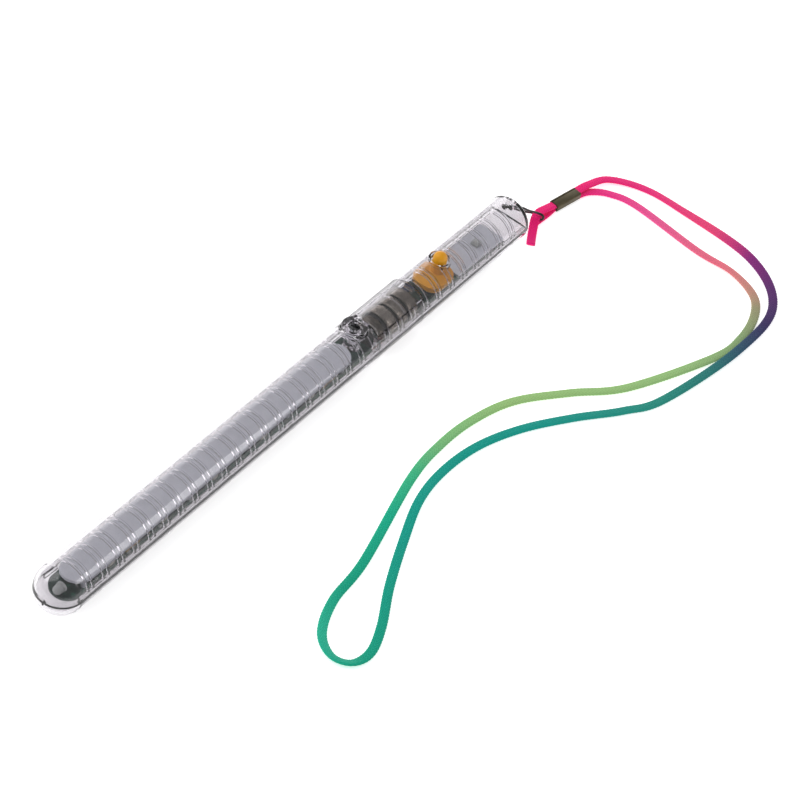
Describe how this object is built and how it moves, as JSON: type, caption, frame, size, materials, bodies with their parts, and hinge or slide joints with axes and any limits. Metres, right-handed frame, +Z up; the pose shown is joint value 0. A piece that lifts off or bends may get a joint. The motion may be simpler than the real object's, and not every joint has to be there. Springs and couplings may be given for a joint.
{
  "type": "light stick",
  "caption": "Clear plastic flashing baton with a round tip, ribbed see-through barrel, yellow button, battery door and flat rainbow wrist strap.",
  "frame": {"origin": "under the middle of the barrel, on the surface that it lies on", "axes": "+X along the barrel from the round tip to the lanyard end, +Z up, the way the button points"},
  "size_m": [0.2856, 0.0952, 0.0188],
  "materials": {
    "clear_plastic": "polished clear injection moulding",
    "dark_steel": "blackened cross-head screw",
    "yellow_plastic": "smooth amber yellow moulding",
    "black_plastic": "matt black",
    "green_board": "dark green solder mask",
    "frosted_plastic": "frosted grey-white",
    "led_lens": "clear moulded lens",
    "resistor_body": "beige lacquer",
    "capacitor_sleeve": "dark blue sleeve",
    "cell_steel": "nickel plated can",
    "plated_steel": "nickel plated spring steel",
    "red_insulation": "red insulation",
    "black_insulation": "black insulation",
    "black_wire": "dark steel wire",
    "bronze_crimp": "antique bronze crimp",
    "rainbow_braid": "flat polyester braid dyed from pink to green",
    "pink_braid": "flat polyester braid, hot pink"
  },
  "bodies": {
    "barrel": {"upper_shell": "clear_plastic", "lower_shell": "clear_plastic", "switch_body": "black_plastic", "main_board": "green_board", "tail_board": "green_board", "light_bar": "frosted_plastic", "tail_reflector": "frosted_plastic", "tip_led": "led_lens", "led_1": "led_lens", "led_2": "led_lens", "led_3": "led_lens", "led_4": "led_lens", "led_5": "led_lens", "tail_led": "led_lens", "driver_chip": "black_plastic", "resistor_1": "resistor_body", "resistor_2": "resistor_body", "capacitor": "capacitor_sleeve", "cell_1": "cell_steel", "cell_2": "cell_steel", "cell_3": "cell_steel", "contact_spring": "plated_steel", "spring_plate": "plated_steel", "contact_plate": "plated_steel", "link_wire_red": "red_insulation", "link_wire_black": "black_insulation"},
    "button_body": {"button": "yellow_plastic"},
    "switch_pin": {"switch_plunger": "black_plastic"},
    "door": {"battery_door": "clear_plastic"},
    "screw": {"door_screw": "dark_steel"},
    "lanyard": {"wire_ring": "black_wire", "ferrule": "bronze_crimp", "strap": "rainbow_braid", "strap_tail": "pink_braid", "strap_tuck": "pink_braid"}
  },
  "joints": [
    {"name": "button_press", "type": "slide", "parent": "barrel", "child": "button_body", "axis": [0, 0, -1], "range_m": [0, 0.0005], "stiffness_N_per_m": 600, "springref_m": -0.0005},
    {"name": "switch_press", "type": "slide", "parent": "barrel", "child": "switch_pin", "axis": [0, 0, -1], "range_m": [0, 0.0005]},
    {"name": "door_tilt", "type": "hinge", "parent": "barrel", "child": "door", "pos_m": [0.057, 0, 0.0156], "axis": [0, 1, 0], "range_deg": [0, 20]},
    {"name": "screw_out", "type": "slide", "parent": "door", "child": "screw", "axis": [0, 0, 1], "range_m": [0, 0.003]},
    {"name": "lanyard_swing", "type": "hinge", "parent": "barrel", "child": "lanyard", "pos_m": [0.1142, 0.0012, 0.0115], "axis": [0, 0, 1], "range_deg": [-10, 15]}
  ],
  "couplings": [
    {"joint": "switch_press", "follows": "button_press", "ratio": 1}
  ]
}
